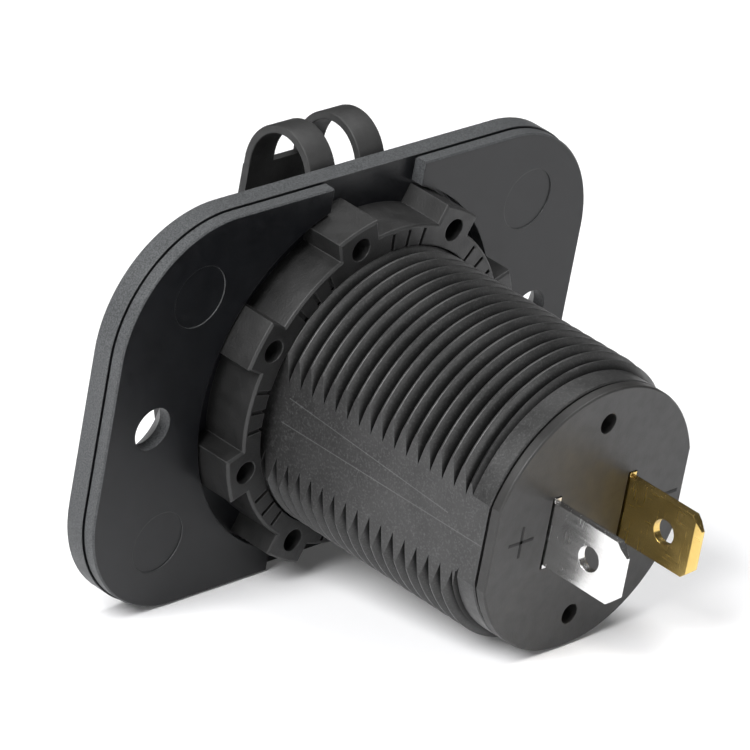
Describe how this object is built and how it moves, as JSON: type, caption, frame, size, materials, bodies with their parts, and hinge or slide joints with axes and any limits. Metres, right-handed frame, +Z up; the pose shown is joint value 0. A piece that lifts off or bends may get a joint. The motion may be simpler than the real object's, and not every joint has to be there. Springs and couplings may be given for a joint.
{
  "type": "panel-mount usb charger socket",
  "caption": "Charger socket for a panel: rounded mounting panel, threaded barrel with flats, castellated ring nut, end cap with blade terminals, ports under a hinged dust cover.",
  "frame": {"origin": "on the barrel axis at the rear face of the mounting panel, midway between the screw holes", "axes": "+X along the line of the screw holes, +Y rearwards along the barrel to the terminals, +Z up to the dust cover's hinge"},
  "size_m": [0.06, 0.0526, 0.042],
  "materials": {
    "panel_plastic": "black, fine-grained satin moulding",
    "barrel_plastic": "black, fine-grained matt moulding",
    "nut_plastic": "black matt moulding with worn edges",
    "cap_plastic": "dark grey satin moulding",
    "cover_rubber": "soft black moulding",
    "plated_metal": "bright plated blade with handling scratches",
    "brass": "stamped brass blade",
    "insert_plastic": "black gloss face",
    "shell_steel": "plated sheet steel",
    "tongue_plastic": "white moulding",
    "contact_metal": "plated contact strip",
    "board": "green circuit board",
    "ferrite": "grey ferrite",
    "capacitor_can": "bright can",
    "chip_resin": "black resin",
    "led_resin": "pale resin",
    "light_pipe_clear": "clear moulding"
  },
  "bodies": {
    "socket": {"mounting_panel": "panel_plastic", "socket_body": "barrel_plastic", "ring_nut": "nut_plastic", "end_cap": "cap_plastic", "positive_terminal": "plated_metal", "negative_terminal": "brass", "face_insert": "insert_plastic", "upper_usb_shell": "shell_steel", "lower_usb_shell": "shell_steel", "upper_usb_tongue": "tongue_plastic", "lower_usb_tongue": "tongue_plastic", "upper_usb_contacts": "contact_metal", "lower_usb_contacts": "contact_metal", "port_board": "board", "converter_board": "board", "link_pins": "contact_metal", "power_inductor": "ferrite", "input_capacitor": "capacitor_can", "output_capacitor": "capacitor_can", "controller_chip": "chip_resin", "rectifier_diode": "chip_resin", "indicator_led": "led_resin", "light_pipe": "light_pipe_clear", "cover_ring": "cover_rubber", "hinge_straps": "cover_rubber"},
    "lid": {"dust_cap": "cover_rubber"}
  },
  "joints": [
    {"name": "cap_hinge", "type": "hinge", "parent": "socket", "child": "lid", "pos_m": [0, -0.00805, 0.02155], "axis": [-1, 0, 0], "range_deg": [0, 150], "deforming": ["hinge_straps"]}
  ]
}
